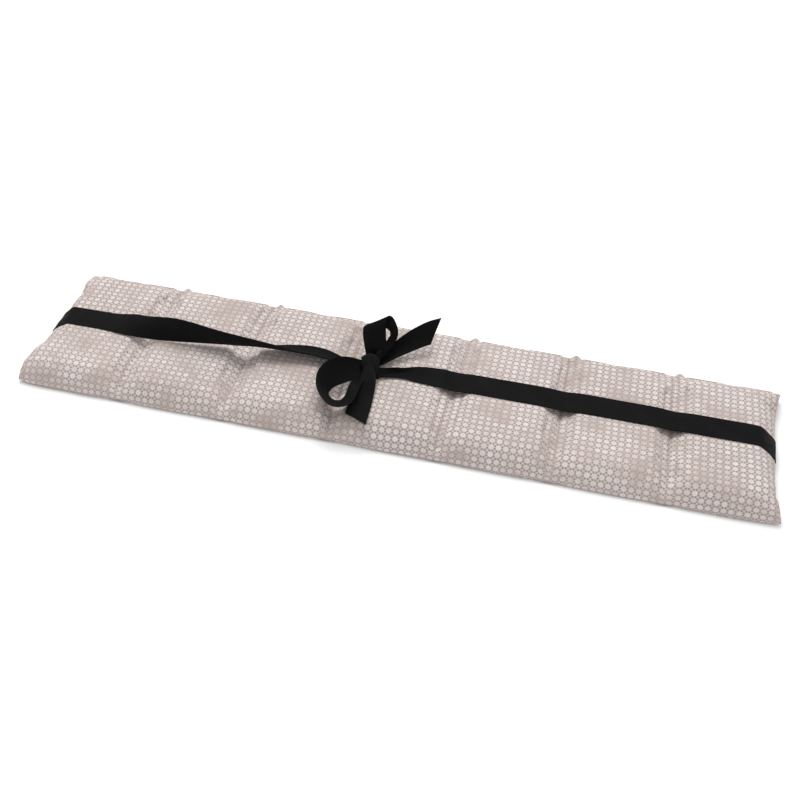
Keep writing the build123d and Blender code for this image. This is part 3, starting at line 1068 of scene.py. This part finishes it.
UPPER_LOOP = (
    ((-28, -8, 27), (-21, -4, 27), 1.0),
    ((-31, 1, 31), (-19, 5, 30), 2.5),
    ((-33, 4, 36), (-17, 10, 35.5), 1.8),
    ((-35, 7, 41.5), (-18.6, 15.5, 43), 0.6),
    ((-36.4, 10.6, 46), (-19.6, 19.4, 52), 0.2),
    ((-36.4, 14, 48), (-19, 22, 56), 0.2),
    ((-32.6, 19.6, 48), (-16, 23, 56), 0.4),
    ((-26, 25, 45), (-12.2, 21.6, 51.4), 0.6),
    ((-18.4, 29, 40.4), (-9.6, 19, 45.6), 0.4),
    ((-14.4, 27, 34), (-10, 17, 39), 0.4),
    ((-16.6, 19, 30), (-13.4, 13, 33), 0.4),
    ((-23.5, 6, 26.6), (-20, 3, 27.6), 0.8),
)
RIGHT_TAIL = (
    ((-23, -8, 24.4), (-25, 0, 26), -1.0),
    ((-17, 0, 24.4), (-20, 9, 28.6), -2.4),
    ((-6, 11.6, 26.4), (-10.4, 21, 35), -2.4),
    ((5, 20.6, 28.6), (-1, 29.6, 41), -1.4),
    ((11, 25, 30), (10, 38, 45.4), -1.0),
    ((16, 28, 31), (20, 46, 46), -0.6),
)
LOWER_LOOP = (
    ((-22, -13, 25), (-29, -4, 30), 1.0),
    ((-29, -22, 24.4), (-32, -9.6, 33.4), 1.6),
    ((-36, -25, 23.4), (-40, -12.6, 36.6), 1.6),
    ((-42, -29.6, 22.6), (-49, -16.6, 38), 1.4),
    ((-47, -35, 22.2), (-56, -25, 38.6), 1.2),
    ((-49, -40, 22), (-59, -36, 38.4), 1.0),
    ((-49, -44.4, 22), (-58, -47, 37.4), 1.0),
    ((-46.6, -47.6, 22), (-53.6, -58, 36.4), 1.0),
    ((-43, -50, 22.2), (-47, -65, 34.4), 1.0),
    ((-39, -50.6, 23), (-40, -68.6, 32.6), 1.2),
    ((-36, -49, 24.6), (-32, -67.6, 32.6), 1.8),
    ((-35, -45, 26), (-26, -62, 33.6), 2.2),
    ((-35, -38, 27), (-24.6, -50, 34), 2.2),
    ((-34, -29.6, 28), (-25, -37, 33), 2.0),
    ((-29, -19, 28), (-23.4, -22, 31), 1.0),
)
LOWER_TAIL = (
    ((-29, -12, 29.4), (-20, -10, 28.4), 1.6),
    ((-28, -22, 29.6), (-18.4, -18, 28.4), 2.2),
    ((-28, -32, 28.6), (-16.2, -26, 26.4), 1.8),
    ((-29, -42, 27), (-14.8, -35, 24.6), 1.2),
    ((-29.6, -53, 25.4), (-13.2, -49, 23.4), 0.8),
    ((-30, -60, 25), (-12.4, -62, 22.8), 0.6),
    ((-29.6, -65.6, 24.8), (-11.8, -71.6, 22.4), 0.4),
)
KNOT_WRAP = (
    ((-33, 0, 24.5), (-25, 5, 25), 1.5),
    ((-34, -2.6, 29), (-24, 2, 31), 2.0),
    ((-32.6, -6, 32.4), (-21, -3, 33.6), 2.2),
    ((-28.8, -11, 32.6), (-18, -10, 32.2), 2.2),
    ((-25, -15.6, 29.8), (-16, -16, 28.4), 2.0),
    ((-23, -17.6, 25), (-15.6, -18, 24), 1.5),
)


def make_knot(material):
    """The tight knot: a lumpy core of packed ribbon with one strand over it."""
    low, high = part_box("bow_knot")
    centre = (low + high) / 2
    size = (high - low) / 2
    rings, turns = 22, 30
    points = []
    for a in np.linspace(0, math.pi, rings + 1):
        for b in np.arange(turns) * 2 * math.pi / turns:
            unit = np.array([math.sin(a) * math.cos(b), math.sin(a) * math.sin(b), math.cos(a)])
            boxy = np.sign(unit) * np.abs(unit) ** 0.8
            folds = 1 + 0.05 * math.sin(5 * b + 2.4 * a)
            points.append(centre + Vector(boxy * folds * 0.93 * np.array(size)))
    faces = []
    for r in range(rings):
        for c in range(turns):
            d = (c + 1) % turns
            faces.append((r * turns + c, (r + 1) * turns + c, (r + 1) * turns + d, r * turns + d))
    core = bpy.data.meshes.new("knot_core")
    core.from_pydata([tuple(p) for p in points], [], faces)
    core.uv_layers.new(name="tape")
    for loop in core.loops:
        place = core.vertices[loop.vertex_index].co
        core.uv_layers[0].data[loop.index].uv = (place.x + place.z, place.y)
    piece = link(core, "bow_knot_core", material)
    for polygon in core.polygons:
        polygon.use_smooth = True
    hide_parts("bow_knot")
    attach(piece, f"chamber_{MIDDLE}")
    wrap = make_tape("bow_knot_strand", tape_grid(KNOT_WRAP, 6), material)
    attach(wrap, f"chamber_{MIDDLE}")


def make_bow(material, covers):
    """Two loops and two tails from the knot, all carried by the middle chamber."""
    make_knot(material)
    parts = (
        ("bow_upper_loop", UPPER_LOOP),
        ("bow_lower_loop", LOWER_LOOP),
        ("bow_right_tail", RIGHT_TAIL),
        ("bow_lower_tail", LOWER_TAIL),
    )
    for name, stations in parts:
        grid = lay_on(tape_grid(stations, 7, BOW_FULL), covers, 0.5 * MM)
        piece = make_tape(f"{name}_ribbon", grid, material)
        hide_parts(name)
        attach(piece, f"chamber_{MIDDLE}")
        if name == "bow_lower_loop":
            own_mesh(piece)


make_camera()
make_studio()
cotton = make_cotton()
tape = make_tape_material()
thread = make_thread_material()
herbs = make_filling_material()
covers = Covers(make_chambers(cotton, herbs, thread))
make_ribbon(tape, covers)
make_bow(tape, covers)
